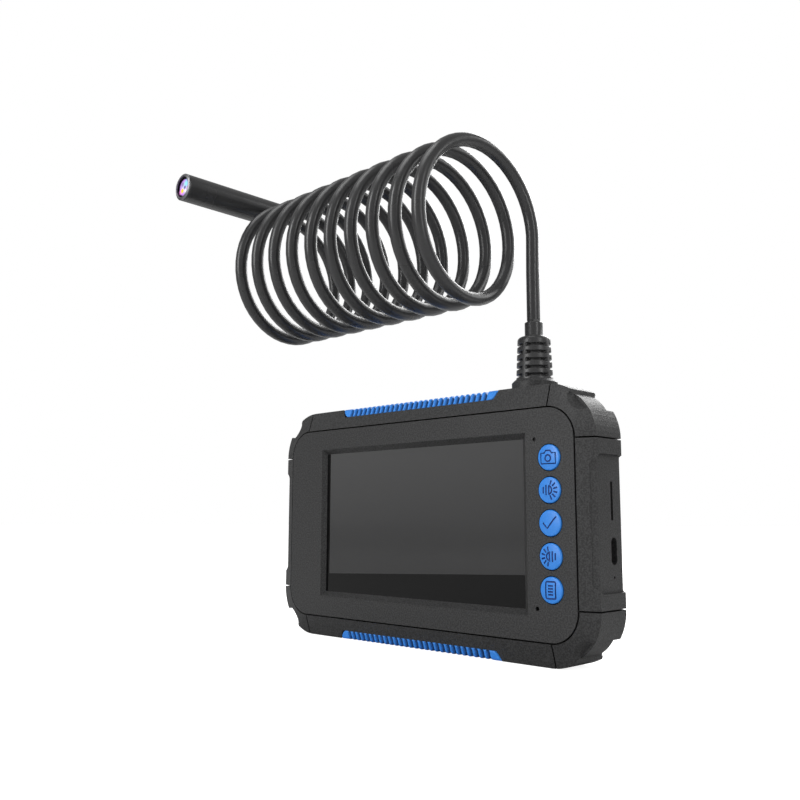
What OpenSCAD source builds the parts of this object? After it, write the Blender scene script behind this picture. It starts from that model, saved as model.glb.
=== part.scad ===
// Handheld inspection camera: a screen unit in a two-shell housing with soft corner bumpers,
// a strain-relieved cable wound into an open coil, and a slim camera probe on its far end.
// Frame: X to the right and Y to the back as seen from the front, Z up, origin under the middle
// of the housing on the surface it stands on.

/* [Housing] */
// Width of the housing
body_w = 151.2; // [148:0.1:158]
// Height of the housing without the grip ridges
body_h = 88.8; // [86:0.1:94]
// Depth of the housing
body_d = 22; // [21.5:0.1:24]
// Radius of the housing's outer corners
corner_r = 18; // [15:0.5:20]
// Depth of the sloping bevel around the front
bevel_d = 2.5; // [2.3:0.1:3]
// Depth of the sloping bevel around the back
back_bevel_d = 5.2; // [4:0.1:6]
// Width of the flat front face
face_w = 137.9; // [136:0.1:139]
// Height of the flat front face
face_h = 72.85; // [71:0.05:74]
// Corner radius of the flat front face
face_r = 10; // [8:0.5:12]
// Thickness of the housing walls
wall = 2.4; // [2:0.1:2.8]
// Gap between neighbouring outer parts
seam = 0.5; // [0.3:0.05:0.6]

/* [Display] */
// Width of the visible glass
glass_w = 95.6; // [94:0.1:97]
// Height of the visible glass
glass_h = 54; // [52:0.1:55]
// Sideways shift of the glass from the middle of the face
glass_x = 0.55; // [0:0.05:2]
// Depth of the screen recess
recess_d = 2; // [1.5:0.1:2.2]

/* [Buttons] */
// Number of buttons
button_count = 5; // [5:1:5]
// Distance between button centres
button_pitch = 10.24; // [10.1:0.02:10.6]
// Radius of a button cap
button_r = 4.1; // [3.6:0.1:4.2]
// Height of a cap above the face
button_proud = 0.8; // [0.6:0.1:1]
// Travel of a button
button_travel = 0.6; // [0.3:0.1:0.6]
// Sideways place of the button column
button_x = 59.9; // [59:0.1:60]

/* [Grips] */
// Length of a grip strip
strip_len = 81.6; // [78:0.1:83]
// Sideways place of the strips' middle
strip_x = -0.9; // [-3:0.1:0]
// Number of ridges on a strip
ridge_count = 27; // [20:1:28]
// Distance between ridges
ridge_pitch = 2.5; // [2.4:0.05:2.6]
// Height of a ridge above the housing
ridge_h = 0.1; // [0.05:0.05:0.4]

/* [Cable and probe] */
// Diameter of the cable
cable_d = 4.5; // [4:0.1:4.7]
// Radius of the coil at the middle of the cable
coil_r = 25.9; // [24:0.1:28]
// Distance between the coil's turns
coil_pitch = 10.4; // [9.5:0.1:11]
// Number of turns in the coil
coil_turns = 10.25; // [6.25:1:10.25]
// Diameter of the camera probe
probe_d = 10.2; // [9.8:0.1:10.4]
// Length of the camera probe
probe_len = 45.6; // [40:0.1:50]

/* [Hidden] */

$fn = 64;
charcoal = "#3b3c3e";
rubber_black = "#2b2c2d";
blue = "#1c6ee0";
board_green = "#1f5b3a";
metal = "#b9bcc0";

front_y = -body_d / 2;
mid_z = body_h / 2 + ridge_h;
big = 200;
sliver = 0.01;
bevel_run_z = (body_h - face_h) / 2;
bevel_run_x = (body_w - face_w) / 2;

// Corner bumpers meet the housing along these lines
bumper_seam_x = 59.4;
bumper_seam_z = 26.5;
// Channel across each bumper: its floor's distance along the corner's diagonal, half its width,
// the radius of its bowed floor and where its middle lies beside the diagonal
channel_u = 75.75;
channel_half = 3.7;
channel_r = 13;
channel_t = -(body_w - body_h) / 2 / sqrt(2);
// Depth of the scoops in which the channel ends
scoop_y = 4.8;
back_scoop_y = 6.6;

// Waist on both sides, with the sockets in the right one
waist_half = 21.2;
waist_x = 74.5;
waist_y = 1.65;
waist_floor_y = 4;
back_waist_y = 2.4;
back_waist_floor_y = 4.9;
waist_r = 3.4;
// Small step down at the front and back edge of a waist
waist_step = 0.6;
waist_edge_x = face_w / 2 + waist_y * bevel_run_x / bevel_d;
back_waist_edge_x = face_w / 2 + back_waist_y * bevel_run_x / back_bevel_d;

// Layers from the front face backwards
cover_t = 2.6;
ledge_y = 3.2;
back_wall_y = body_d - wall;
wing_front_y = 5.5;
wing_back_y = body_d - 5.5;
glass_t = 0.9;
// Dark border of the glass on its left side
glass_border = 1.9;
gasket_t = 0.4;
panel_y = recess_d + glass_t + gasket_t;
panel_t = 1.7;
backlight_t = 1.2;
carrier_t = 0.5;
carrier_back = panel_y + panel_t + backlight_t + carrier_t;
keypad_y = 6.2;
keypad_t = 1;
board_y = 9.3;
board_t = 1.6;
board_back = board_y + board_t;
battery_y = 11.6;
battery_t = 7;

cavity_w = face_w - 4;
cavity_h = face_h - 4;
cavity_r = face_r - 2;
wing_x = 72;
wing_z = body_h / 2 - wall;

opening_left = -50.25;
opening_right = 50.7;
opening_half_h = 28.85;
lcd_left = -51.25;
lcd_right = 50.25;
lcd_half_h = 30.5;

post_x = 62.5;
post_z = 29.5;
post_r = 2.6;
post_end_y = 17.8;
standoffs = [[-48, -22.5], [-48, 22.5], [56, -22.5], [56, 22.5]];

// Pegs that locate the keypad board between its buttons
peg_x = button_x + 3.6;
peg_z = button_pitch / 2;

pinhole_x = 54.3;
pinhole_z = 26.5;
pinhole_r = 0.7;

usb_z = -8.55;
usb_half = 2.57;
usb_r = 1.63;
usb_y = 12.6;
card_z = 6.9;
card_y = 12;
reset_z = -16.5;
reset_y = 12.4;
reset_r = 0.4;
socket_x = 71.8;

strip_front_y = 1.5;
strip_back_y = 2.5;
strip_t = 1.2;
strip_end_r = 5;
groove_d = 0.75;

// Cable outlet on the top edge
cable_x = 47;
boss_r = 7.7;
boss_h = 3.2;
boss_top_z = body_h / 2 + boss_h;
gland_r = 3.3;
boot_h = 15.4;
boot_r_low = 6.2;
boot_r_high = 5.55;
collar_h = 5.4;
collar_r = 3.05;
exit_z = mid_z + boss_top_z + boot_h + collar_h;

// Coil: its first turn starts straight above the boot and its last ends at the top, facing forwards
coil_x0 = cable_x + 0.2;
coil_y = -coil_r;
coil_z = 143.3;
coil_end_x = coil_x0 - coil_pitch * coil_turns;
coil_solid_end_x = coil_end_x + 5.4;
probe_z = coil_z + coil_r;
probe_back_y = -28.5;
probe_tip_y = probe_back_y - probe_len;

// Route of the cable from the boot up to the coil
lead_route = [
    [47, 0, exit_z], [47, 0, 117.5], [47, 0, 123.5], [47, 0, 129.5], [47.1, 0, 135.5], [47.2, 0, 140.5]
];
// Route of the same cable inside the housing, from the boot's end down to its plug
inner_route = [
    [47, 0, exit_z], [47, 0, 103.5], [47, 0, 95.5], [47, 0, 87.5], [47, 0.2, 83.5],
    [47, 0.9, 79.5], [47, 1.8, 75.5], [47, 2.2, 72], [47, 2.2, 68.5]
];

// ---- Helpers ----

// Rounded rectangle with true arcs, centred
module rrect(w, h, r) {
    square([w - 2 * r, h], center = true);
    square([w, h - 2 * r], center = true);
    for (sx = [-1, 1], sz = [-1, 1])
        translate([sx * (w / 2 - r), sz * (h / 2 - r)]) circle(r);
}

// Slot shape: two half circles joined, standing upright
module slot_shape(half, r) {
    square([2 * r, 2 * half], center = true);
    for (s = [-1, 1]) translate([0, s * half]) circle(r);
}

// Extrudes a shape drawn on the face from depth a to depth b
module slab(a, b) {
    translate([0, front_y + b, mid_z]) rotate([90, 0, 0]) linear_extrude(b - a) children();
}

// Extrudes a shape drawn as (depth, height) from x0 to x1
module side_slab(x0, x1) {
    translate([x0, front_y, mid_z]) rotate([90, 0, 90]) linear_extrude(x1 - x0) children();
}

// Extrudes a shape drawn as (x, depth) from z0 to z1
module plan_slab(z0, z1) {
    translate([0, front_y, mid_z + z0]) linear_extrude(z1 - z0) children();
}

// Round rod or drill along the depth at (x, z)
module rod(x, z, r, a, b) {
    translate([x, front_y + a, mid_z + z]) rotate([-90, 0, 0]) cylinder(h = b - a, r = r);
}

module block(x, z, w, h, a, b) {
    slab(a, b) translate([x, z]) square([w, h], center = true);
}

module both_sides() {
    children();
    mirror([1, 0, 0]) children();
}

function unit(v) = v / norm(v);
function heading(route, i) = unit(route[min(i + 1, len(route) - 1)] - route[max(i - 1, 0)]);
function ring(centre, along, across, r, sides) =
    let (u = unit(cross(across, along)), v = cross(along, u))
    [for (k = [0 : sides - 1]) centre + r * (cos(360 * k / sides) * u + sin(360 * k / sides) * v)];

// One closed tube along a route that never runs along the direction across
module tube(route, r, across = [1, 0, 0], sides = 10) {
    n = len(route);
    polyhedron(
        points = [for (i = [0 : n - 1]) each ring(route[i], heading(route, i), across, r, sides)],
        faces = [
            [for (k = [0 : sides - 1]) k],
            [for (k = [sides - 1 : -1 : 0]) (n - 1) * sides + k],
            for (i = [0 : n - 2], k = [0 : sides - 1])
                let (a = i * sides + k, b = i * sides + (k + 1) % sides)
                [a, a + sides, b + sides, b]
        ]
    );
}

// ---- Housing ----

// Outer shape of the closed housing
module envelope() {
    hull() {
        slab(0, sliver) rrect(face_w, face_h, face_r);
        slab(bevel_d, body_d - back_bevel_d) rrect(body_w, body_h, corner_r);
        slab(body_d - sliver, body_d) rrect(face_w, face_h, face_r);
    }
}

module core_outline() {
    rrect(face_w + 2 * seam, face_h + 2 * seam, face_r + seam);
}

// Area of one corner bumper on the face, for the upper right corner
module bumper_field(grow = 0) {
    difference() {
        translate([bumper_seam_x - grow, bumper_seam_z - grow]) square(big);
        core_outline();
    }
}

// Ellipse on the channel's middle line with half axes a along the diagonal and b across it
module channel_ellipse(a, b) {
    rotate(45) translate([channel_u + 0.3, channel_t]) scale([a, b]) circle(1);
}

// Channel across the upper right bumper, ending in a scoop at the front and the back
module bumper_cut() {
    slab(-1, body_d + 1) rotate(45) translate([channel_u, channel_t]) difference() {
        polygon([
            [0, -channel_half], [4, -channel_half - 4], [4, channel_half + 4], [0, channel_half]
        ]);
        translate([-sqrt(pow(channel_r, 2) - pow(channel_half, 2)), 0]) circle(channel_r);
    }
    hull() {
        slab(-1, -1 + sliver) channel_ellipse(3.4, 4.5);
        slab(scoop_y - sliver, scoop_y) channel_ellipse(0.8, channel_half);
    }
    hull() {
        slab(body_d - back_scoop_y, body_d - back_scoop_y + sliver) channel_ellipse(0.8, channel_half);
        slab(body_d + 1 - sliver, body_d + 1) channel_ellipse(4.6, 5.9);
    }
}

// Soft corner bumper of the upper right corner
module bumper() {
    color(charcoal) difference() {
        intersection() {
            envelope();
            slab(-1, body_d + 1) bumper_field();
        }
        bumper_cut();
    }
}

module bumper_at(right, top) {
    translate([0, 0, mid_z])
        mirror([right ? 0 : 1, 0, 0]) mirror([0, 0, top ? 0 : 1])
            translate([0, 0, -mid_z]) bumper();
}

module bumper_top_right() { bumper_at(true, true); }
module bumper_top_left() { bumper_at(false, true); }
module bumper_bottom_right() { bumper_at(true, false); }
module bumper_bottom_left() { bumper_at(false, false); }

// Right waist: a shallow recess with a slanting front and back edge
module waist() {
    intersection() {
        plan_slab(-waist_half, waist_half) polygon([
            [waist_edge_x, waist_y], [waist_edge_x, waist_y + waist_step],
            [waist_x, waist_floor_y], [waist_x, body_d - back_waist_floor_y],
            [back_waist_edge_x, body_d - back_waist_y - waist_step],
            [back_waist_edge_x, body_d - back_waist_y], [big, body_d - back_waist_y], [big, waist_y]
        ]);
        side_slab(back_waist_edge_x - 1, big) translate([(body_d + waist_y - back_waist_y) / 2, 0])
            rrect(body_d - waist_y - back_waist_y, 2 * waist_half, waist_r);
    }
}

// Corner points of a grip strip's cross-section on one side as (depth from that side, height):
// outer end, outer corner, inner corner and inner end
function strip_side(bevel, edge, up, down) =
    let (
        n = unit([-bevel_run_z, bevel]),
        mitre = [(1 - n[1]) / n[0], 1],
        corner = [bevel, body_h / 2],
        end = [edge, face_h / 2 + bevel_run_z * edge / bevel]
    )
    [end + up * n, corner + up * mitre, corner - down * mitre, end - down * n];
function from_back(p) = [body_d - p[0], p[1]];

// Cross-section of a grip strip, raised by up and sunk by down
module strip_section(up, down) {
    f = strip_side(bevel_d, strip_front_y, up, down);
    b = strip_side(back_bevel_d, strip_back_y, up, down);
    polygon([
        f[0], f[1], from_back(b[1]), from_back(b[0]),
        from_back(b[3]), from_back(b[2]), f[2], f[3]
    ]);
}

// Body of the top strip with its rounded ends
module strip_body(up, down, grow = 0) {
    front = strip_front_y - ridge_h - grow;
    back = body_d - strip_back_y + ridge_h + grow;
    intersection() {
        side_slab(strip_x - strip_len / 2 - grow, strip_x + strip_len / 2 + grow)
            strip_section(up, down);
        plan_slab(0, big) translate([strip_x, (front + back) / 2])
            rrect(strip_len + 2 * grow, back - front, strip_end_r);
    }
}

// V groove between two ridges, running over the front bevel, the top and the back bevel
module ridge_groove() {
    w = ridge_pitch * 0.72;
    v = [[-w / 2, -ridge_h], [w / 2, -ridge_h], [0, groove_d]];
    translate([0, 0, body_h / 2]) rotate([-90, 0, 0])
        linear_extrude(body_d, center = true) polygon(v);
    translate([0, front_y + bevel_d, body_h / 2]) rotate([-90 + atan2(bevel_run_z, bevel_d), 0, 0])
        linear_extrude(body_d, center = true) polygon(v);
    translate([0, front_y + body_d - back_bevel_d, body_h / 2])
        rotate([-90 - atan2(bevel_run_z, back_bevel_d), 0, 0])
            linear_extrude(body_d, center = true) polygon(v);
}

module grip_strip() {
    first = strip_x - ridge_pitch * ridge_count / 2;
    color(blue) difference() {
        strip_body(ridge_h, strip_t);
        for (i = [0 : ridge_count]) translate([first + i * ridge_pitch, 0, mid_z]) ridge_groove();
    }
}

module grip_strip_top() { grip_strip(); }
module grip_strip_bottom() {
    translate([0, 0, mid_z]) mirror([0, 0, 1]) translate([0, 0, -mid_z]) grip_strip();
}

// Boss on the top edge that carries the strain relief
module cable_boss() {
    edge_h = 1;
    lean = bevel_d / bevel_run_z;
    back_lean = back_bevel_d / bevel_run_z;
    front = bevel_d + 0.1;
    back = body_d - back_bevel_d - 0.1;
    intersection() {
        translate([cable_x, 0, mid_z + body_h / 2 - 1]) {
            cylinder(h = boss_h + 1 - edge_h, r = boss_r);
            translate([0, 0, boss_h + 1 - edge_h]) cylinder(h = edge_h, r1 = boss_r, r2 = boss_r - edge_h);
        }
        side_slab(cable_x - boss_r - 1, cable_x + boss_r + 1) polygon([
            [front - lean, body_h / 2 - 1], [front + lean * boss_h, boss_top_z],
            [back - back_lean * boss_h, boss_top_z], [back + back_lean, body_h / 2 - 1]
        ]);
    }
}

module rear_housing() {
    color(charcoal) difference() {
        union() {
            difference() {
                envelope();
                for (sx = [0, 1], sz = [0, 1])
                    translate([0, 0, mid_z]) mirror([sx, 0, 0]) mirror([0, 0, sz])
                        translate([0, 0, -mid_z]) slab(-1, body_d + 1) bumper_field(seam);
                slab(-1, ledge_y) core_outline();
                slab(ledge_y - 1, back_wall_y) rrect(cavity_w, cavity_h, cavity_r);
                block(0, 0, 2 * 56, 2 * wing_z, wing_front_y, wing_back_y);
                block(0, 0, 2 * wing_x, 2 * 23, wing_front_y, wing_back_y);
                both_sides() waist();
            }
            cable_boss();
            for (x = [-post_x, post_x], z = [-post_z, post_z])
                rod(x, z, 4, post_end_y, body_d - 1);
            for (p = standoffs) rod(p[0], p[1], 2.6, board_back, body_d - 1);
        }
        strip_body(big, strip_t, 0.1);
        translate([0, 0, mid_z]) mirror([0, 0, 1]) translate([0, 0, -mid_z])
            strip_body(big, strip_t, 0.1);
        translate([cable_x, 0, mid_z + wing_z - 1]) cylinder(h = big, r = gland_r);
        for (x = [-post_x, post_x], z = [-post_z, post_z]) {
            rod(x, z, 1.5, post_end_y - 1, body_d + 1);
            rod(x, z, 2.6, body_d - 2, body_d + 1);
        }
        for (p = standoffs) rod(p[0], p[1], 1, board_back - 1, board_back + 5);
        // Socket openings in the right waist
        side_slab(wing_x - 1, big) translate([usb_y, usb_z]) slot_shape(usb_half, usb_r);
        side_slab(wing_x - 1, big) translate([card_y, card_z]) square([1.2, 12], center = true);
        translate([wing_x - 1, front_y + reset_y, mid_z + reset_z])
            rotate([0, 90, 0]) cylinder(h = big, r = reset_r);
    }
}

// ---- Front cover and display ----

module display_opening() {
    left = glass_x - glass_w / 2 - glass_border;
    right = glass_x + glass_w / 2;
    slope = (opening_half_h - glass_h / 2) / recess_d;
    intersection() {
        plan_slab(-opening_half_h - 5, opening_half_h + 5) polygon([
            [opening_left - (left - opening_left) / recess_d, -1],
            [opening_right + (opening_right - right) / recess_d, -1],
            [right, recess_d], [right, cover_t + 1], [left, cover_t + 1], [left, recess_d]
        ]);
        side_slab(-big, big) polygon([
            [-1, -opening_half_h - slope], [recess_d, -glass_h / 2], [cover_t + 1, -glass_h / 2],
            [cover_t + 1, glass_h / 2], [recess_d, glass_h / 2], [-1, opening_half_h + slope]
        ]);
    }
}

module front_cover() {
    color(charcoal) difference() {
        union() {
            slab(0, cover_t) rrect(face_w, face_h, face_r);
            for (x = [-post_x, post_x], z = [-post_z, post_z]) rod(x, z, post_r, cover_t - 1, post_end_y);
            for (z = [-peg_z, peg_z]) rod(peg_x, z, 1.1, cover_t - 1, keypad_y + keypad_t + 0.6);
        }
        display_opening();
        slab(recess_d, cover_t + 1) translate([glass_x - 0.4, 0]) square([102.6, 59.6], center = true);
        for (i = [0 : button_count - 1]) rod(button_x, button_row(i), button_r + 0.3, -1, cover_t + 1);
        for (z = [-pinhole_z, pinhole_z]) rod(pinhole_x, z, pinhole_r, -1, cover_t + 1);
        for (x = [-post_x, post_x], z = [-post_z, post_z]) rod(x, z, 1.35, 7, post_end_y + 1);
    }
}

module housing_seal() {
    color(rubber_black) slab(cover_t, ledge_y) difference() {
        rrect(face_w - 0.4, face_h - 0.4, face_r - 0.2);
        rrect(cavity_w + 0.6, cavity_h + 0.6, cavity_r + 0.3);
    }
}

module display_window() {
    color("#15181c") slab(recess_d, recess_d + glass_t)
        translate([glass_x - 0.4, 0]) square([102.2, 59.2], center = true);
}

module window_gasket() {
    color(rubber_black) slab(recess_d + glass_t, panel_y) difference() {
        translate([glass_x - 0.4, 0]) square([102.2, 59.2], center = true);
        translate([glass_x, 0]) square([glass_w + 0.6, glass_h + 0.6], center = true);
    }
}

module lcd_outline(grow = 0) {
    translate([lcd_left - grow, -lcd_half_h - grow])
        square([lcd_right - lcd_left + 2 * grow, 2 * (lcd_half_h + grow)]);
}

module display_panel() {
    color("#0c0d10") slab(panel_y, panel_y + panel_t) lcd_outline();
}

module backlight_unit() {
    y = panel_y + panel_t;
    color("white") slab(y, y + backlight_t) lcd_outline();
}

// Folded metal tray around the display, open to the front
module display_carrier() {
    color(metal) difference() {
        slab(cover_t + 0.05, carrier_back) lcd_outline(0.1 + carrier_t);
        slab(cover_t - 1, carrier_back - carrier_t) lcd_outline(0.1);
        slab(cover_t - 1, panel_y)
            translate([glass_x - 0.4, 0]) square([102.8, 59.8], center = true);
    }
}

// Flat flex from the back of the display to the main board
module display_ribbon() {
    t = 0.3;
    back = board_y - t;
    front = carrier_back;
    color("#c98a2b") side_slab(-14, 10) polygon([
        [front, -24], [back, -24], [back, -21], [back - t, -21],
        [back - t, -24 + t], [front + t, -24 + t], [front + t, -20], [front, -20]
    ]);
}

// ---- Buttons ----

function button_row(i) = button_pitch * ((button_count - 1) / 2 - i);

// Cap with a softly rounded top, a flange behind the cover and a stem for the switch
module button_cap(i) {
    edge = 0.7;
    color(blue) translate([button_x, front_y, mid_z + button_row(i)]) rotate([-90, 0, 0]) rotate_extrude()
        difference() {
            union() {
                translate([0, -button_proud]) square([button_r - edge, edge]);
                translate([button_r - edge, edge - button_proud]) circle(edge);
                translate([0, edge - button_proud]) square([button_r, cover_t + 0.2 - edge + button_proud]);
                translate([0, cover_t + 0.2]) square([4.95, 0.8]);
                translate([0, cover_t + 1]) square([1.2, 0.1]);
            }
            translate([-big, -big / 2]) square([big, big]);
        }
}

module button_capture() { button_cap(0); }
module button_brighter() { button_cap(1); }
module button_confirm() { button_cap(2); }
module button_dimmer() { button_cap(3); }
module button_menu() { button_cap(4); }

module keypad_board() {
    color(board_green) difference() {
        slab(keypad_y, keypad_y + keypad_t) {
            translate([53, -25.2]) square([12, 50.4]);
            translate([53, -29]) square([5.4, 58]);
        }
        for (z = [-peg_z, peg_z]) rod(peg_x, z, 1.2, keypad_y - 1, keypad_y + keypad_t + 1);
    }
}

// Five tactile switches on the keypad board
module key_switches() {
    color("#8d9094") for (i = [0 : button_count - 1]) {
        block(button_x, button_row(i), 4.6, 4.6, keypad_y - 1.4, keypad_y);
        rod(button_x, button_row(i), 1.1, keypad_y - 1.85, keypad_y - 1.4);
    }
}

// Flat flex between the keypad board and the main board
module keypad_ribbon() {
    t = 0.3;
    color("#c98a2b") plan_slab(-4, 4) polygon([
        [60, keypad_y + keypad_t], [60 + t, keypad_y + keypad_t], [60 + t, board_y], [60, board_y]
    ]);
}

module status_led() {
    color("white") {
        rod(pinhole_x, pinhole_z, pinhole_r - 0.05, 0.6, cover_t);
        rod(pinhole_x, pinhole_z, 1.1, cover_t, keypad_y);
    }
}

module microphone() {
    color(metal) rod(pinhole_x + 0.7, -pinhole_z, 1.7, cover_t + 0.6, keypad_y);
}

// ---- Main board ----

module main_board() {
    color(board_green) difference() {
        slab(board_y, board_back) {
            translate([-52, -26]) square([112, 52]);
            translate([-52, -18.5]) square([123, 37]);
        }
        for (p = standoffs) rod(p[0], p[1], 1.1, board_y - 1, board_back + 1);
    }
}

module board_chips() {
    color("#1b1b1d") {
        block(-8, 4, 14, 14, board_y - 1.2, board_y);
        block(12, 6, 10, 12, board_y - 1.1, board_y);
        block(-30, 8, 8, 6, board_y - 1.1, board_y);
        block(34, 8, 5, 5, board_back, board_back + 1);
        block(30, -10, 6, 6, board_back, board_back + 2.4);
        rod(40, -10, 2.6, board_back, board_back + 2.6);
    }
}

module board_connectors() {
    color("ivory") {
        block(cable_x, 21, 9, 6, board_back, board_back + 4);
        block(-2, -19.6, 26, 2.8, board_y - 1.4, board_y);
        block(24, 20, 6, 5, board_back, board_back + 4);
    }
}

module usb_socket() {
    back = socket_x - 7.4;
    color(metal) difference() {
        side_slab(back, socket_x) translate([usb_y, usb_z]) slot_shape(2.84, usb_r);
        side_slab(back + 1, socket_x + 1) translate([usb_y, usb_z]) difference() {
            slot_shape(2.84, usb_r - 0.3);
            square([0.7, 6.6], center = true);
        }
    }
}

module card_socket() {
    back = socket_x - 14.5;
    color(metal) difference() {
        side_slab(back, socket_x) translate([card_y, card_z]) square([2.2, 14], center = true);
        side_slab(back + 1, socket_x + 1) translate([card_y, card_z]) square([1, 11.4], center = true);
    }
}

module reset_switch() {
    color("#8d9094") side_slab(socket_x - 3, socket_x - 0.3)
        translate([reset_y, reset_z]) square([3, 2.6], center = true);
}

// ---- Power ----

module battery_pack() {
    color("#6f7a86") slab(battery_y, battery_y + battery_t) translate([-14, 0]) rrect(60, 46, 2);
}

module battery_pad() {
    color(rubber_black) block(-14, 0, 52, 38, battery_y + battery_t, back_wall_y);
}

// Two wires from the cell to its plug on the main board
module battery_lead() {
    route = [[16, 3.6, 0], [17, 3.6, 0], [18, 3.2, 0], [19, 2.6, 0], [20, 2.4, 0], [21, 2.4, 0]];
    color("firebrick") for (s = [-1, 1])
        translate([0, 0, mid_z + 20 + s]) tube(route, 0.7, [0, 0, 1], 8);
}

// ---- Fasteners ----

// Pan-head screw whose head sits at depth seat and whose shank runs towards the front
module screw(x, z, seat, len, shank_r, head_r, head_t, to_front) {
    s = to_front ? -1 : 1;
    translate([x, front_y + seat, mid_z + z]) rotate([to_front ? 90 : -90, 0, 0]) difference() {
        union() {
            cylinder(h = len, r = shank_r);
            translate([0, 0, -head_t]) cylinder(h = head_t, r1 = head_r - 0.4, r2 = head_r);
        }
        for (a = [0, 90]) rotate([0, 0, a])
            translate([-head_r * 0.55, -0.25, -head_t - 1]) cube([head_r * 1.1, 0.5, 1 + head_t * 0.5]);
    }
}

module housing_screws() {
    color("#35373a") for (x = [-post_x, post_x], z = [-post_z, post_z])
        screw(x, z, body_d - 2, 12, 1.3, 2.4, 1.5, true);
}

module board_screws() {
    color(metal) for (p = standoffs) screw(p[0], p[1], board_y, 5.6, 0.95, 1.8, 1.2, false);
}

// ---- Cable outlet ----

// Tapered boot with rows of flex slots, a round collar above it and a stem through the housing
module strain_relief_boot() {
    rows = 5;
    row_pitch = 2.6;
    slot_h = 0.95;
    web = 1.7;
    stem_h = boss_h + wall + 3;
    shoulder = 1.4;
    color(rubber_black) translate([cable_x, 0, mid_z + boss_top_z]) difference() {
        union() {
            cylinder(h = boot_h - shoulder, r1 = boot_r_low, r2 = boot_r_high);
            translate([0, 0, boot_h - shoulder])
                cylinder(h = shoulder, r1 = boot_r_high, r2 = collar_r + 0.3);
            translate([0, 0, boot_h - 0.5]) cylinder(h = collar_h + 0.1, r = collar_r);
            translate([0, 0, boot_h + collar_h - 0.4]) cylinder(h = 0.4, r1 = collar_r, r2 = collar_r - 0.4);
            translate([0, 0, -stem_h]) cylinder(h = stem_h + 1, r = gland_r - 0.05);
        }
        translate([0, 0, -stem_h - 1]) cylinder(h = big, r = cable_d / 2 + 0.05);
        for (i = [0 : rows - 1]) translate([0, 0, 2.2 + i * row_pitch]) difference() {
            cylinder(h = slot_h, r = boot_r_low + 1);
            translate([0, 0, -1]) cylinder(h = slot_h + 2, r = boot_r_high - 1.5);
            for (a = [0, 90]) rotate([0, 0, a])
                translate([-web / 2, -boot_r_low - 2, -1]) cube([web, 2 * boot_r_low + 4, slot_h + 2]);
        }
    }
}

module gland_nut() {
    h = 2.6;
    color(metal) translate([cable_x, 0, mid_z + wing_z - h]) difference() {
        cylinder(h = h, r = 5.4, $fn = 6);
        translate([0, 0, -1]) cylinder(h = h + 2, r = gland_r);
    }
}

module inner_lead() {
    color(rubber_black) tube(inner_route, cable_d / 2);
}

// ---- Free cable ----

function coil_point(turns) = [
    coil_x0 - coil_pitch * turns,
    coil_y + coil_r * cos(360 * turns),
    coil_z + coil_r * sin(360 * turns)
];

module cable_lead() {
    color(rubber_black) tube(lead_route, cable_d / 2);
}

// Outer shape of the coil
module cable_coil() {
    length = coil_x0 + cable_d / 2 - coil_solid_end_x;
    color(rubber_black) translate([coil_solid_end_x, coil_y, coil_z]) rotate([0, 90, 0]) rotate_extrude()
        translate([coil_r - cable_d / 2, 0]) square([cable_d, length]);
}

// Last part of the last turn, then straight into the probe
module cable_tail() {
    steps = 14;
    arc = 0.4;
    color(rubber_black) tube(concat(
        [for (i = [0 : steps]) coil_point(coil_turns - arc * (1 - i / steps))],
        [[coil_end_x, probe_back_y, probe_z]]
    ), cable_d / 2);
}

// ---- Camera probe ----

// Turned solid on the probe's axis, drawn as (radius, distance behind the tip)
module probe_turned() {
    translate([coil_end_x, probe_tip_y, probe_z]) rotate([-90, 0, 0]) rotate_extrude() children();
}

module probe_housing() {
    color(rubber_black) probe_turned() difference() {
        translate([0, 0.6]) square([probe_d / 2, probe_len - 0.6]);
        translate([-1, -1]) square([1 + probe_d / 2 - 0.6, probe_len - 4]);
        translate([-1, -1]) square([1 + cable_d / 2 + 0.5, probe_len + 2]);
        translate([-big, -1]) square([big, probe_len + 2]);
    }
}

module probe_nose_ring() {
    color(metal) probe_turned() {
        translate([probe_d / 2 - 1.3, 0]) square([1.3, 0.6]);
        translate([probe_d / 2 - 1.2, 0.6]) square([0.58, 1.4]);
    }
}

module probe_window() {
    color("#20242a") probe_turned() translate([0, 1.1]) square([probe_d / 2 - 1.2, 0.8]);
}

module probe_lens_barrel() {
    color("#101113") probe_turned() translate([2, 1.95]) square([0.7, 5]);
}

module probe_lens() {
    color("#5a4f7a") probe_turned() intersection() {
        translate([0, 2.2]) square([2, 2]);
        translate([0, 5.2]) circle(3);
    }
}

// Ring of six light emitters around the lens
module probe_lights() {
    color("#f4f1da") translate([coil_end_x, probe_tip_y + 1.95, probe_z]) rotate([-90, 0, 0])
        for (i = [0 : 5]) rotate([0, 0, 30 + 60 * i]) translate([3.25, 0, 0]) cylinder(h = 0.9, r = 0.5);
}

module probe_sensor_board() {
    color(board_green) probe_turned() translate([0, 7]) square([probe_d / 2 - 0.7, 1]);
}

module probe_end_cap() {
    color(rubber_black) probe_turned() difference() {
        translate([0, probe_len - 5]) square([cable_d / 2 + 0.45, 5]);
        translate([-1, probe_len - 6]) square([1 + 1.2, 7]);
        translate([-big, 0]) square([big, probe_len + 2]);
    }
}

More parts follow.
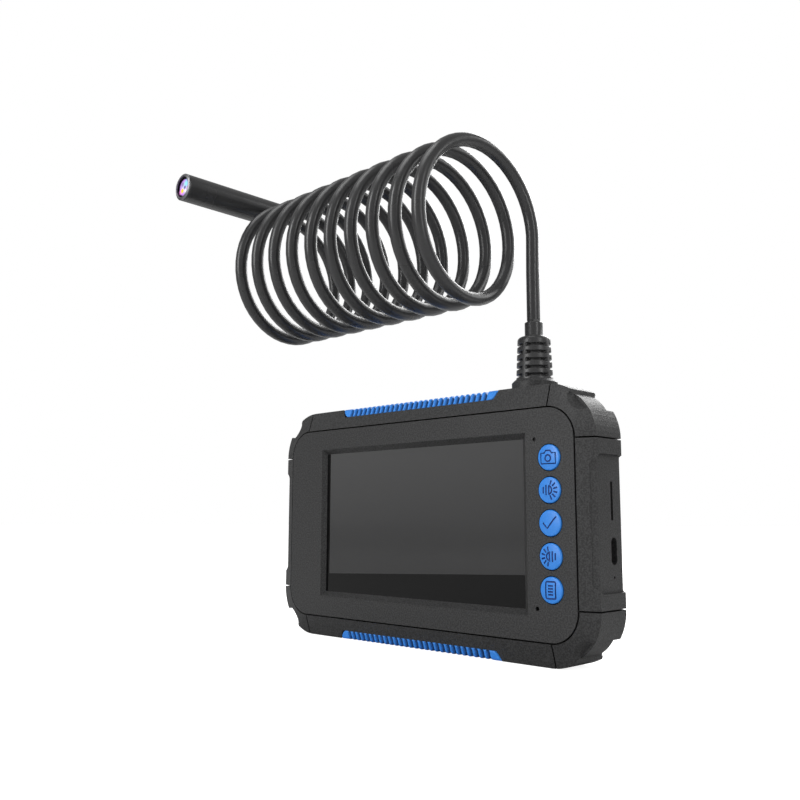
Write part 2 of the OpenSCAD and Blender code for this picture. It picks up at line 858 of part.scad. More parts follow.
rear_housing();
front_cover();
housing_seal();
bumper_top_right();
bumper_top_left();
bumper_bottom_right();
bumper_bottom_left();
grip_strip_top();
grip_strip_bottom();
display_window();
window_gasket();
display_panel();
backlight_unit();
display_carrier();
display_ribbon();
button_capture();
button_brighter();
button_confirm();
button_dimmer();
button_menu();
keypad_board();
key_switches();
keypad_ribbon();
status_led();
microphone();
main_board();
board_chips();
board_connectors();
usb_socket();
card_socket();
reset_switch();
battery_pack();
battery_pad();
battery_lead();
housing_screws();
board_screws();
strain_relief_boot();
gland_nut();
inner_lead();
cable_lead();
cable_coil();
cable_tail();
probe_housing();
probe_nose_ring();
probe_window();
probe_lens_barrel();
probe_lens();
probe_lights();
probe_sensor_board();
probe_end_cap();
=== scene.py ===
"""Looks of a handheld inspection camera: a screen unit, its coiled cable and its camera probe.

Lengths are in millimetres up to the moment a mesh is made, and MM turns them into metres.
X runs to the right and Y to the back as seen from the front, Z up.
"""

import math

import bmesh
import bpy
from mathutils import Matrix, Vector

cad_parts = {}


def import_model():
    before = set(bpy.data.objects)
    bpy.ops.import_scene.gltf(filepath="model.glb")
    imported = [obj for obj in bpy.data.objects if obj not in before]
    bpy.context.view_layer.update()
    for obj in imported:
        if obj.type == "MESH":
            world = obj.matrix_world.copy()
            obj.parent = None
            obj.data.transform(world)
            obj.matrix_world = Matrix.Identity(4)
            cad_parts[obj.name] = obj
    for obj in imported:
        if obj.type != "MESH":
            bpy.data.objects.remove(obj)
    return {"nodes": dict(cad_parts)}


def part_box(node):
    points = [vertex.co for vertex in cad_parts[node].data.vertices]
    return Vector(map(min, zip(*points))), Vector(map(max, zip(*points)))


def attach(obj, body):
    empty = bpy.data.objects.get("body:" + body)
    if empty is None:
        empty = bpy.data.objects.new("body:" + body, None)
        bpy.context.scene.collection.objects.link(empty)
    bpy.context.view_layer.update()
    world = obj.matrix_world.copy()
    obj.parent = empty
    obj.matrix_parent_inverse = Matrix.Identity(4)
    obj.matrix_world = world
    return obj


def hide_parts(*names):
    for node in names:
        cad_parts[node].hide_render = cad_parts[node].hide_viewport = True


MM = 0.001
TAU = 2 * math.pi
HOUSING = "housing"

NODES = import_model()["nodes"]
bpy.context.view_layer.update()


def box_mm(node):
    """Lowest and highest corner of a CAD node in millimetres."""
    low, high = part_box(node)
    return Vector(low) / MM, Vector(high) / MM


# ---- Places read from the frame ----

cover_low, cover_high = box_mm("front_cover")
FRONT_Y = cover_low.y
MID_Z = (cover_low.z + cover_high.z) / 2
FACE_HALF_H = cover_high.z - MID_Z
BODY_HALF_H = box_mm("bumper_top_right")[1].z - MID_Z
BACK_Y = box_mm("rear_housing")[1].y
grip_low, grip_high = box_mm("grip_strip_top")
GRIP_MIDDLE_X = (grip_low.x + grip_high.x) / 2
GRIP_HALF_LEN = (grip_high.x - grip_low.x) / 2
RIDGE_H = grip_high.z - MID_Z - BODY_HALF_H

# ---- Sizes, as in the part's source ----

# Bevels around the front and the back of the housing
BEVEL_D = 2.5
BACK_BEVEL_D = 5.2

# Ridges of the grip strips, and the stretch of a strip that they take up
RIDGES = 27
RIDGE_PITCH = 2.5
RIDGED_PITCHES = RIDGES + 0.8

# Cable and coil
CABLE_D = 4.5
CABLE_X = 47
EXIT_Z = 112.9
COIL_R = 25.9
COIL_PITCH = 10.4
COIL_TURNS = 10.25
COIL_X0 = 47.2
COIL_Y = -25.9
COIL_Z = 143.3
PROBE_BACK_Y = -28.5
INTO_PROBE = 1.5


# ---- Helpers for objects and nodes ----

def put_in_scene(name, data):
    """New object in the scene, from a mesh, a curve, a light or a camera."""
    obj = bpy.data.objects.new(name, data)
    bpy.context.scene.collection.objects.link(obj)
    return obj


def set_inputs(tree, node, inputs):
    """Gives each of a node's inputs a value, or the output of another node."""
    for key, value in inputs.items():
        if isinstance(value, bpy.types.NodeSocket):
            tree.links.new(value, node.inputs[key])
        else:
            node.inputs[key].default_value = value
    return node


def add_node(tree, kind, inputs=None, **settings):
    """New node with its settings and its inputs."""
    node = tree.nodes.new(kind)
    for key, value in settings.items():
        setattr(node, key, value)
    return set_inputs(tree, node, inputs or {})


def math_node(tree, operation, *values):
    """Result of a math node on numbers and outputs of other nodes."""
    return add_node(tree, "ShaderNodeMath", dict(enumerate(values)), operation=operation).outputs[0]


def solid(color):
    """Colour with its alpha."""
    return (*color, 1)


def shade(color, factor):
    """Colour made darker or lighter."""
    return tuple(min(1, c * factor) for c in color)


# ---- Camera, floor and light ----

# Camera found from the photo: its place in metres, and where its right, top and front point
CAMERA_AT = Vector((0.2181, -0.2376, 0.0453))
CAMERA_RIGHT = Vector((0.7109, 0.7032, 0.0025))
CAMERA_UP = Vector((0.0948, -0.0994, 0.9905))
CAMERA_FORWARD = Vector((-0.6968, 0.704, 0.1374))
LENS_MM = 38.98
SENSOR_MM = 36
NEAREST_SEEN = 0.01

# Softboxes: azimuth from the front and elevation in degrees, distance, width and height in metres,
# and power in watts
LIGHTS = {
    "side_light": (80, 8, 0.9, 0.12, 0.9, 1.9),
    "front_light": (-14, 22, 1.0, 0.30, 0.8, 4.7),
    "top_light": (-20, 75, 1.0, 0.7, 0.5, 2.6),
    "rim_light": (143, 29, 1.0, 0.25, 0.5, 1.2),
    "back_light": (190, 33, 0.8, 0.6, 0.4, 5.5),
}
LIGHT_TARGET = Vector((0, 0, 0.09))
WHITE = (1, 1, 1, 1)
LIGHT_ALL_AROUND = 0.36
FLOOR_SIZE = 12
FLOOR_GREY = 0.6
FLOOR_GLOW = 0.9


def make_camera():
    """The photo's camera."""
    data = bpy.data.cameras.new("camera")
    data.lens = LENS_MM
    data.sensor_width = SENSOR_MM
    data.clip_start = NEAREST_SEEN
    camera = put_in_scene("camera", data)
    pose = Matrix((CAMERA_RIGHT, CAMERA_UP, -CAMERA_FORWARD)).transposed().to_4x4()
    pose.translation = CAMERA_AT
    camera.matrix_world = pose
    bpy.context.scene.camera = camera


def make_softbox(name, azimuth, elevation, distance, width, height, power):
    """Area light aimed at the middle of the object."""
    data = bpy.data.lights.new(name, "AREA")
    data.shape = "RECTANGLE"
    data.size = width
    data.size_y = height
    data.energy = power
    a, e = math.radians(azimuth), math.radians(elevation)
    direction = Vector((math.sin(a) * math.cos(e), -math.cos(a) * math.cos(e), math.sin(e)))
    light = put_in_scene(name, data)
    light.location = LIGHT_TARGET + distance * direction
    light.rotation_euler = (LIGHT_TARGET - light.location).to_track_quat("-Z", "Y").to_euler()


def make_world():
    """White background, and a dim light from all around."""
    world = bpy.data.worlds.new("studio")
    bpy.context.scene.world = world
    world.use_nodes = True
    tree = world.node_tree
    seen = set_inputs(tree, tree.nodes["Background"], {"Color": WHITE, "Strength": 1.0})
    lit = add_node(tree, "ShaderNodeBackground", {"Color": WHITE, "Strength": LIGHT_ALL_AROUND})
    camera_ray = add_node(tree, "ShaderNodeLightPath").outputs["Is Camera Ray"]
    either = {"Fac": camera_ray, 1: lit.outputs["Background"], 2: seen.outputs["Background"]}
    mix = add_node(tree, "ShaderNodeMixShader", either)
    set_inputs(tree, tree.nodes["World Output"], {"Surface": mix.outputs["Shader"]})


def make_floor():
    """White floor. It glows to stay white, but only what bounces off it lights the object."""
    bpy.ops.mesh.primitive_plane_add(size=FLOOR_SIZE, location=(0, 0, 0))
    floor = bpy.context.object
    floor.name = "floor"
    mat = bpy.data.materials.new("floor_white")
    mat.use_nodes = True
    set_inputs(mat.node_tree, mat.node_tree.nodes["Principled BSDF"], {
        "Base Color": (FLOOR_GREY, FLOOR_GREY, FLOOR_GREY, 1),
        "Roughness": 0.9,
        "Specular IOR Level": 0.1,
        "Emission Color": WHITE,
        "Emission Strength": FLOOR_GLOW,
    })
    floor.data.materials.append(mat)
    glow = bpy.data.collections.new("floor_glow")
    glow.objects.link(floor)
    floor.light_linking.receiver_collection = glow


make_camera()
make_world()
make_floor()
for light_name, light_values in LIGHTS.items():
    make_softbox(light_name, *light_values)
bpy.context.scene.view_settings.view_transform = "Standard"


# ---- Materials ----

CHARCOAL = (0.026, 0.026, 0.0265)
BLUE = (0.035, 0.26, 0.82)
# Painted shade for the bottoms of the grip's grooves
PAINTED_GROOVE_SHADE = shade(BLUE, 0.16)

# Gloss changes over broad patches, by this much around a finish's roughness
PATCH_MM = 14
SMOOTHER = 0.04
ROUGHER = 0.05

# Moulded finishes: colour, roughness, size of the grain in millimetres, spread of its tint, and
# strength and depth in millimetres of its relief
MOULDED = {
    "charcoal_plastic": (CHARCOAL, 0.52, 0.5, 0.5, 1.0, 0.10),
    "bumper_rubber": (shade(CHARCOAL, 0.97), 0.54, 0.5, 0.5, 1.0, 0.10),
    "black_rubber": ((0.042, 0.042, 0.043), 0.30, 0.35, 0.08, 0.12, 0.015),
    "blue_grip": (shade(BLUE, 1.15), 0.42, 0.4, 0.06, 0.12, 0.02),
    "blue_button": (shade(BLUE, 1.05), 0.35, 0.35, 0.04, 0.08, 0.01),
    "button_mark": ((0.006, 0.045, 0.24), 0.55, 0.3, 0.05, 0.1, 0.01),
    "display_dark": ((0.006, 0.006, 0.007), 0.3, 1.0, 0.1, 0.05, 0.01),
    "white_plastic": ((0.75, 0.75, 0.73), 0.5, 0.5, 0.03, 0.1, 0.01),
    "flex_amber": ((0.55, 0.22, 0.03), 0.4, 0.6, 0.1, 0.1, 0.01),
    "board_green": ((0.012, 0.10, 0.045), 0.4, 1.2, 0.2, 0.2, 0.02),
    "chip_black": ((0.011, 0.011, 0.012), 0.5, 0.3, 0.15, 0.2, 0.02),
    "ivory_plastic": ((0.72, 0.66, 0.48), 0.5, 0.5, 0.05, 0.1, 0.01),
    "battery_wrap": ((0.13, 0.16, 0.20), 0.35, 2.0, 0.1, 0.1, 0.02),
    "lead_red": ((0.45, 0.02, 0.015), 0.45, 0.4, 0.06, 0.1, 0.01),
    "cable_jacket": ((0.038, 0.038, 0.039), 0.27, 0.5, 0.06, 0.05, 0.01),
    "probe_black": ((0.036, 0.036, 0.037), 0.24, 0.4, 0.06, 0.05, 0.008),
    "light_cream": ((0.80, 0.76, 0.55), 0.3, 0.3, 0.04, 0.05, 0.01),
}

# Metals, in the same terms
METALS = {
    "steel": ((0.20, 0.20, 0.21), 0.38, 0.3, 0.06, 0.1, 0.01),
    "dark_steel": ((0.07, 0.07, 0.075), 0.38, 0.3, 0.08, 0.1, 0.01),
    "switch_metal": ((0.42, 0.43, 0.44), 0.4, 0.3, 0.06, 0.1, 0.01),
}

# The switched-off screen, in painted reflection and shade: its colour at the top and above the bar, the
# darker bar of painted reflection, and the painted shade of the border at the left
PAINTED_REFLECTION_TOP = (0.089, 0.089, 0.0895)
PAINTED_REFLECTION_LOW = (0.049, 0.049, 0.0495)
PAINTED_REFLECTION_BAR = (0.004, 0.004, 0.004)
PAINTED_BORDER_SHADE = (0.0015, 0.0015, 0.0015)
BAR_TOP = MID_Z - 18.3
BAR_SLOPE = 0.038
BORDER_W = 3.7

# Coated glass of the probe, from the edge inwards, with painted reflections: a pale middle and coloured
# glints, made to glow though the glass is no lamp.
# Each spot has its place as (x, z) from the middle, how far it reaches in full, where it ends, and its
# colour
GLASS_EDGE = (0.004, 0.004, 0.005)
PAINTED_GLINTS_AND_PUPIL = [
    (0, 0, 2.9, 3.3, (0.42, 0.20, 0.62)),
    (0, 0, 1.2, 2.9, (0.50, 0.47, 0.72)),
    (1.3, 1.3, 0.3, 2.2, (0.22, 0.62, 0.85)),
    (-1.2, 1.5, 0.2, 1.4, (0.20, 0.18, 0.32)),
    (-2.3, -1.2, 0.3, 1.5, (0.75, 0.25, 0.65)),
    (2.4, -0.7, 0.2, 1.3, (0.68, 0.26, 0.70)),
    (0.8, -1.5, 0.2, 1.1, (0.80, 0.75, 0.90)),
    (-1.3, -1.0, 0.55, 1.15, (0.95, 0.55, 0.02)),
    (0.4, 0, 0.35, 0.95, (0.10, 0.10, 0.22)),
]
PAINTED_GLINT_GLOW = 0.6


def start(name):
    """New material, its node tree, its shader and the place on the object."""
    mat = bpy.data.materials.new(name)
    mat.use_nodes = True
    tree = mat.node_tree
    place = add_node(tree, "ShaderNodeTexCoord").outputs["Object"]
    return mat, tree, tree.nodes["Principled BSDF"], place


def noise(tree, place, size_mm, detail=2.0):
    """Noise of a given size."""
    values = {"Vector": place, "Scale": 1 / (size_mm * MM), "Detail": detail}
    return add_node(tree, "ShaderNodeTexNoise", values).outputs["Fac"]


def remap(tree, value, low, high, cut=(0.3, 0.7), curve="LINEAR"):
    """Number that goes from low to high while the value crosses the range in cut."""
    ends = {"Value": value, "From Min": cut[0], "From Max": cut[1], "To Min": low, "To Max": high}
    return add_node(tree, "ShaderNodeMapRange", ends, interpolation_type=curve).outputs["Result"]


def blend(tree, factor, low, high, cut=(0, 1)):
    """Colour that goes from low to high while the factor crosses the range in cut."""
    node = add_node(tree, "ShaderNodeValToRGB", {"Fac": factor})
    for element, position, color in zip(node.color_ramp.elements, cut, (low, high)):
        element.position = position
        element.color = solid(color)
    return node.outputs["Color"]


def mix_color(tree, factor, color_0, color_1):
    """Colour between two, each a colour or the output of another node."""
    inputs = {"Factor": factor, "A": color_0, "B": color_1}
    return add_node(tree, "ShaderNodeMix", inputs, data_type="RGBA").outputs["Result"]


def moulded(name, color, rough, grain_mm, spread, bump, depth_mm, metallic=0.0):
    """Moulded plastic, rubber or cast metal: fine grain in colour, gloss and relief."""
    mat, tree, shader, place = start(name)
    grain = noise(tree, place, grain_mm)
    patches = noise(tree, place, PATCH_MM, 3)
    relief = {"Strength": bump, "Distance": depth_mm * MM, "Height": grain}
    set_inputs(tree, shader, {
        "Base Color": blend(tree, grain, shade(color, 1 - spread), shade(color, 1 + spread), (0.4, 0.6)),
        "Roughness": remap(tree, patches, rough - SMOOTHER, rough + ROUGHER),
        "Metallic": metallic,
        "Normal": add_node(tree, "ShaderNodeBump", relief).outputs["Normal"],
    })
    return mat


def paint_groove_shade(mat):
    """Paints shade on the grip's blue down in the grooves between its ridges."""
    tree = mat.node_tree
    place = add_node(tree, "ShaderNodeTexCoord").outputs["Object"]
    x = add_node(tree, "ShaderNodeSeparateXYZ", {"Vector": place}).outputs["X"]
    # Counted in ridges from the strip's middle
    along = math_node(tree, "MULTIPLY_ADD", x, 1 / (RIDGE_PITCH * MM), -GRIP_MIDDLE_X / RIDGE_PITCH)
    in_pitch = math_node(tree, "FRACT", along)
    from_groove = math_node(tree, "ABSOLUTE", math_node(tree, "SUBTRACT", in_pitch, 0.5))
    past_ridges = math_node(tree, "GREATER_THAN", math_node(tree, "ABSOLUTE", along), RIDGED_PITCHES / 2)
    height = math_node(tree, "MAXIMUM", from_groove, past_ridges)
    shader = tree.nodes["Principled BSDF"]
    blue = shader.inputs["Base Color"].links[0].from_socket
    # Painted shade: the blue darkens from each crest down into its groove
    lit = remap(tree, height, 0, 1, (0.08, 0.36))
    set_inputs(tree, shader, {"Base Color": mix_color(tree, lit, solid(PAINTED_GROOVE_SHADE), blue)})


def display_glass(name):
    """Switched-off display behind glass, in painted reflection: pale at the top, a dark bar low down, and a
    dark left border of painted shade.
    """
    mat, tree, shader, place = start(name)
    low, high = box_mm("display_window")
    split = add_node(tree, "ShaderNodeSeparateXYZ", {"Vector": place})
    x, z = split.outputs["X"], split.outputs["Z"]
    # Height that allows for the slope of the bar's top edge
    level = math_node(tree, "MULTIPLY_ADD", x, -BAR_SLOPE, z)
    rise = remap(tree, level, 0, 1, (BAR_TOP * MM, high.z * MM))
    # Painted reflection, paler towards the top of the screen
    painted_reflection = blend(tree, rise, PAINTED_REFLECTION_LOW, PAINTED_REFLECTION_TOP)
    above_bar = math_node(tree, "GREATER_THAN", level, BAR_TOP * MM)
    past_border = math_node(tree, "GREATER_THAN", x, (low.x + BORDER_W) * MM)
    # Painted reflection: a dark bar low down
    with_bar = mix_color(tree, above_bar, solid(PAINTED_REFLECTION_BAR), painted_reflection)
    smudges = noise(tree, place, 9, 3)
    set_inputs(tree, shader, {
        # Painted shade: a near-black border at the left
        "Base Color": mix_color(tree, past_border, solid(PAINTED_BORDER_SHADE), with_bar),
        "Roughness": remap(tree, smudges, 0.05, 0.09),
        "Specular IOR Level": 0.22,
    })
    return mat


def glass_with_painted_glints(name, node):
    """Round glass in front of the lens: black edge, painted reflections of a pale middle and coloured spots,
    and a dark pupil, all made to glow.
    """
    mat, tree, shader, place = start(name)
    low, high = box_mm(node)
    middle = Vector(((low.x + high.x) / 2, low.y, (low.z + high.z) / 2))
    color = solid(GLASS_EDGE)
    # Painted reflections: each glint is a colour spot laid over the ones before
    for x, z, full, end, glint_color in PAINTED_GLINTS_AND_PUPIL:
        ends = {0: place, 1: (middle + Vector((x, 0, z))) * MM}
        gap = add_node(tree, "ShaderNodeVectorMath", ends, operation="DISTANCE").outputs["Value"]
        strength = remap(tree, gap, 1, 0, (full * MM, end * MM), "SMOOTHSTEP")
        color = mix_color(tree, strength, color, solid(glint_color))
    set_inputs(tree, shader, {
        "Base Color": color,
        # The painted glints glow, though the glass is no lamp
        "Emission Color": color,
        "Emission Strength": PAINTED_GLINT_GLOW,
        "Roughness": 0.1,
        "Specular IOR Level": 0.3,
    })
    return mat


MATERIALS = {name: moulded(name, *values) for name, values in MOULDED.items()}
MATERIALS |= {name: moulded(name, *values, metallic=1.0) for name, values in METALS.items()}
MATERIALS["display_glass"] = display_glass("display_glass")
MATERIALS["probe_glass"] = glass_with_painted_glints("probe_glass", "probe_window")
MATERIALS["lens_coating"] = glass_with_painted_glints("lens_coating", "probe_lens")
paint_groove_shade(MATERIALS["blue_grip"])

# Finish of each CAD node that stays as it is
NODE_FINISH = {
    "charcoal_plastic": ["rear_housing", "front_cover"],
    "bumper_rubber": ["bumper_top_right", "bumper_top_left", "bumper_bottom_right", "bumper_bottom_left"],
    "black_rubber": ["housing_seal", "window_gasket", "battery_pad"],
    "display_glass": ["display_window"],
    "display_dark": ["display_panel", "status_led"],
    "white_plastic": ["backlight_unit"],
    "steel": ["display_carrier", "microphone", "usb_socket", "card_socket", "board_screws", "gland_nut"],
    "dark_steel": ["housing_screws"],
    "switch_metal": ["key_switches", "reset_switch"],
    "flex_amber": ["display_ribbon", "keypad_ribbon"],
    "board_green": ["keypad_board", "main_board", "probe_sensor_board"],
    "chip_black": ["board_chips"],
    "ivory_plastic": ["board_connectors"],
    "battery_wrap": ["battery_pack"],
    "lead_red": ["battery_lead"],
    "cable_jacket": ["inner_lead"],
    "probe_black": ["probe_end_cap", "probe_lens_barrel"],
    "probe_glass": ["probe_window"],
    "lens_coating": ["probe_lens"],
    "light_cream": ["probe_lights"],
}

for finish_name, node_names in NODE_FINISH.items():
    for node_name in node_names:
        for material_slot in NODES[node_name].material_slots:
            material_slot.material = MATERIALS[finish_name]


# ---- Soft edges of the moulded parts ----

# Width of the rounding in millimetres. A crease whose faces turn by CREASE_DEG gets it in full, and
# any other edge that turns by SHARP_DEG or more gets SHARP_SHARE of it
SOFT_EDGES = {
    "rear_housing": 0.6,
    "front_cover": 0.7,
    "bumper_top_right": 0.95,
    "bumper_top_left": 0.95,
    "bumper_bottom_right": 0.95,
    "bumper_bottom_left": 0.95,
}
CREASE_DEG = (62, 78)
SHARP_DEG = 24
SHARP_SHARE = 0.35


def edge_weights():
    """Geometry nodes that store each edge's share of the rounding."""
    tree = bpy.data.node_groups.new("edge_weights", "GeometryNodeTree")
    for direction in ("INPUT", "OUTPUT"):
        tree.interface.new_socket("Geometry", in_out=direction, socket_type="NodeSocketGeometry")
    angle = add_node(tree, "GeometryNodeInputMeshEdgeAngle").outputs["Unsigned Angle"]
    above = math_node(tree, "GREATER_THAN", angle, math.radians(CREASE_DEG[0]))
    below = math_node(tree, "LESS_THAN", angle, math.radians(CREASE_DEG[1]))
    sharp = math_node(tree, "GREATER_THAN", angle, math.radians(SHARP_DEG))
    extra = math_node(tree, "MULTIPLY", math_node(tree, "MULTIPLY", above, below), 1 - SHARP_SHARE)
    stored = {
        "Geometry": add_node(tree, "NodeGroupInput").outputs[0],
        "Name": "bevel_weight_edge",
        "Value": math_node(tree, "MULTIPLY_ADD", sharp, SHARP_SHARE, extra),
    }
    store = add_node(tree, "GeometryNodeStoreNamedAttribute", stored, data_type="FLOAT", domain="EDGE")
    add_node(tree, "NodeGroupOutput", {0: store.outputs["Geometry"]})
    return tree


def soften(node, width_mm, weights):
    """Rounds a CAD node's sharp edges, as a mould does, without touching its own mesh."""
    modifiers = NODES[node].modifiers
    flat = modifiers.new("flat_faces", "DECIMATE")
    flat.decimate_type = "DISSOLVE"
    flat.angle_limit = math.radians(1)
    modifiers.new("weights", "NODES").node_group = weights
    edge = modifiers.new("soft_edges", "BEVEL")
    edge.width = width_mm * MM
    edge.segments = 3
    edge.limit_method = "WEIGHT"
    edge.use_clamp_overlap = False
    edge.harden_normals = True
    edge.miter_outer = "MITER_ARC"


weights_group = edge_weights()
for node_name, edge_width in SOFT_EDGES.items():
    soften(node_name, edge_width, weights_group)


# ---- Mesh helpers ----

def mesh_from(name, points, faces):
    """Mesh from points in millimetres."""
    mesh = bpy.data.meshes.new(name)
    mesh.from_pydata([Vector(p) * MM for p in points], [], faces)
    return mesh


def make_piece(name, points, faces, finish, body=HOUSING, replaced=()):
    """One smooth piece with its finish, its body and the nodes it stands for."""
    mesh = mesh_from(name, points, faces)
    mesh.validate()
    mesh.polygons.foreach_set("use_smooth", [True] * len(mesh.polygons))
    mesh.materials.append(MATERIALS[finish])
    obj = put_in_scene(name, mesh)
    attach(obj, body)
    if replaced:
        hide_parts(*replaced)
    return obj


def ring_faces(rings, sides, first=0, closed=False):
    """Faces over rings of points. The end rings are capped, unless the rings close on themselves."""
    faces = []
    for i in range(rings if closed else rings - 1):
        here, there = first + i * sides, first + (i + 1) % rings * sides
        for k in range(sides):
            after = (k + 1) % sides
            faces.append((here + k, here + after, there + after, there + k))
    if not closed:
        last = first + (rings - 1) * sides
        faces.append(list(range(first, first + sides))[::-1])
        faces.append(list(range(last, last + sides)))
    return faces


def turned(profile, sides, centre, closed=False):
    """Points and faces of a solid turned about Y, from (radius, depth) pairs."""
    points = []
    for r, depth in profile:
        for k in range(sides):
            a = TAU * k / sides
            points.append((centre[0] + r * math.cos(a), centre[1] + depth, centre[2] + r * math.sin(a)))
    faces = [face[::-1] for face in ring_faces(len(profile), sides, closed=closed)]
    return points, faces


def closed_sheet(top, bottom):
    """Points and faces of a solid between two grids of the same size."""
    rows, columns = len(top), len(top[0])
    points = [p for row in top for p in row] + [p for row in bottom for p in row]
    half = rows * columns
    faces = []
    for i in range(rows - 1):
        for j in range(columns - 1):
            a = i * columns + j
            quad = (a, a + 1, a + 1 + columns, a + columns)
            faces.append(quad)
            faces.append(tuple(half + k for k in quad[::-1]))
    rim = list(range(columns))
    rim += [i * columns + columns - 1 for i in range(1, rows)]
    rim += [(rows - 1) * columns + j for j in range(columns - 2, -1, -1)]
    rim += [i * columns for i in range(rows - 2, 0, -1)]
    for k, a in enumerate(rim):
        b = rim[(k + 1) % len(rim)]
        faces.append((b, a, a + half, b + half))
    return points, faces


def arc(centre_x, centre_y, radius_x, start_deg, end_deg, steps, radius_y=None):
    """Points of an arc, which is part of an ellipse if the second radius is given."""
    angles = [math.radians(start_deg + (end_deg - start_deg) * k / steps) for k in range(steps + 1)]
    if radius_y is None:
        radius_y = radius_x
    return [(centre_x + radius_x * math.cos(a), centre_y + radius_y * math.sin(a)) for a in angles]


def ease(t):
    """Smooth step from 0 to 1."""
    return t * t * (3 - 2 * t)


# ---- Cable ----

STEPS_PER_TURN = 48


def coil_point(turns):
    """Point of the coil's middle line after a number of turns."""
    a = TAU * turns
    return (COIL_X0 - COIL_PITCH * turns, COIL_Y + COIL_R * math.cos(a), COIL_Z + COIL_R * math.sin(a))


def cable_route():
    """Middle line of the cable: up from the boot, round the coil and into the probe."""
    route = [(CABLE_X, 0, z) for z in (EXIT_Z, 117.5, 123.5, 129.5)]
    # It leans over a little to meet the coil
    route += [(47.1, 0, 135.5), (COIL_X0, 0, 140.5)]
    steps = round(COIL_TURNS * STEPS_PER_TURN)
    route += [coil_point(k / STEPS_PER_TURN) for k in range(steps + 1)]
    end = coil_point(COIL_TURNS)
    return route + [(end[0], y, end[2]) for y in (PROBE_BACK_Y, PROBE_BACK_Y - INTO_PROBE)]


def make_cable(route):
    """Round cable along its route."""
    curve = bpy.data.curves.new("cable", "CURVE")
    curve.dimensions = "3D"
    curve.bevel_depth = CABLE_D / 2 * MM
    curve.bevel_resolution = 8
    curve.use_fill_caps = True
    curve.materials.append(MATERIALS["cable_jacket"])
    spline = curve.splines.new("POLY")
    spline.points.add(len(route) - 1)
    for point, place in zip(spline.points, route):
        point.co = (*(Vector(place) * MM), 1)
    spline.use_smooth = True
    obj = put_in_scene("cable", curve)
    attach(obj, HOUSING)
    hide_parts("cable_lead", "cable_coil", "cable_tail")
    return obj


cable_points = cable_route()
cable = make_cable(cable_points)


# ---- Strain relief boot ----

# Heights are over the boot's foot, this far below the cable's exit. Its rings start inside the boss
BOOT_BELOW_EXIT = 20.8
BOOT_SIDES = 128
BOOT_R = 6.2
BOOT_TAPER = 0.65
RIBBED_H = 14
RING_START = -0.6
RING_STEP = 0.13
RIBBED_RINGS = 110

# Four upright webs, and rows of slots between them. A slot starts at a web's side and reaches its depth
# over SLOT_END_DEG
WEB_APART_DEG = 90
WEB_HALF_DEG = 7
SLOT_END_DEG = 3
SLOT_ROWS = 5
SLOT_FIRST = 1.35
SLOT_PITCH = 2.6

# A slot's half height and depth in its middle, what its ends add to them, and over how many degrees
# that goes
SLOT_HALF = 0.36
SLOT_END_HALF = 0.16
SLOT_DEEP = 1.2
SLOT_END_DEEP = 0.9
SLOT_NARROWS_DEG = 14

# Shape of a slot across its height: how steep and how narrow its walls are, and how its rim runs out.
# Distances from its middle are counted in half heights
WALL_POWER = 2.2
WALL_NARROW = 1.4
RIM_FROM = 1
RIM_DROP = 0.05
RIM_LAST_FROM = 1.3
RIM_LAST_SHARE = 0.3
RIM_END = 1.6


def slot_cut(off):
    """Share of a slot's depth at a distance from its middle."""
    if off >= RIM_END:
        return 0
    share = 1 / (1 + (off * off) ** WALL_POWER * WALL_NARROW)
    if off > RIM_FROM:
        share -= RIM_DROP
    return share if off < RIM_LAST_FROM else share * RIM_LAST_SHARE


def boot_radius(height, angle):
    """Radius of the ribbed boot at a height and an angle."""
    radius = BOOT_R - BOOT_TAPER * min(height, RIBBED_H) / RIBBED_H
    turn = math.degrees(angle) % WEB_APART_DEG
    from_web = min(turn, WEB_APART_DEG - turn)
    if from_web < WEB_HALF_DEG:
        return radius
    opening = min(1, (from_web - WEB_HALF_DEG) / SLOT_END_DEG)
    near_end = 1 - (from_web - WEB_HALF_DEG - SLOT_END_DEG) / SLOT_NARROWS_DEG
    deep = SLOT_DEEP + SLOT_END_DEEP * min(1, max(0, near_end))
    half = SLOT_HALF + SLOT_END_HALF * max(0, 1 - (from_web - WEB_HALF_DEG - 1) / SLOT_NARROWS_DEG)
    for row in range(SLOT_ROWS):
        off = abs(height - SLOT_FIRST - SLOT_PITCH * row) / half
        radius -= deep * opening * slot_cut(off)
    return radius


def make_boot():
    """Slotted boot, its round shoulder and the collar around the cable."""
    angles = [TAU * k / BOOT_SIDES for k in range(BOOT_SIDES)]
    ribbed = [RING_START + RING_STEP * k for k in range(RIBBED_RINGS)]
    # Above the ribs it is round, in (radius, height) pairs
    shoulder = arc(3.1, 13.7, 2.45, 0, 90, 10, radius_y=1.4)
    collar = [(3.05, 15.3), (3.05, 19.4)] + arc(2.75, 19.7, 0.3, 0, 90, 4) + [(2.35, 20.0), (2.1, 19.8)]
    rings = [[(boot_radius(h, a), h) for a in angles] for h in ribbed]
    rings += [[pair] * BOOT_SIDES for pair in shoulder + collar]
    foot = EXIT_Z - BOOT_BELOW_EXIT
    points = []
    for ring in rings:
        points += [(CABLE_X + r * math.cos(a), r * math.sin(a), foot + h) for a, (r, h) in zip(angles, ring)]
    faces = ring_faces(len(rings), BOOT_SIDES)
    make_piece("boot", points, faces, "black_rubber", replaced=["strain_relief_boot"])


make_boot()


# ---- Grip strips ----

# How far behind the front and before the back of the housing a strip ends, the radius of its four
# corners, and that of its edge
GRIP_FRONT_GAP = 1.5
GRIP_BACK_GAP = 2.5
GRIP_CORNER_R = 5.0
GRIP_EDGE_R = 0.35

# Where the band meets a bevel, the path is rounded from this far before the corner
BAND_ROUNDING = 0.9
BAND_ROUNDING_STEPS = 6

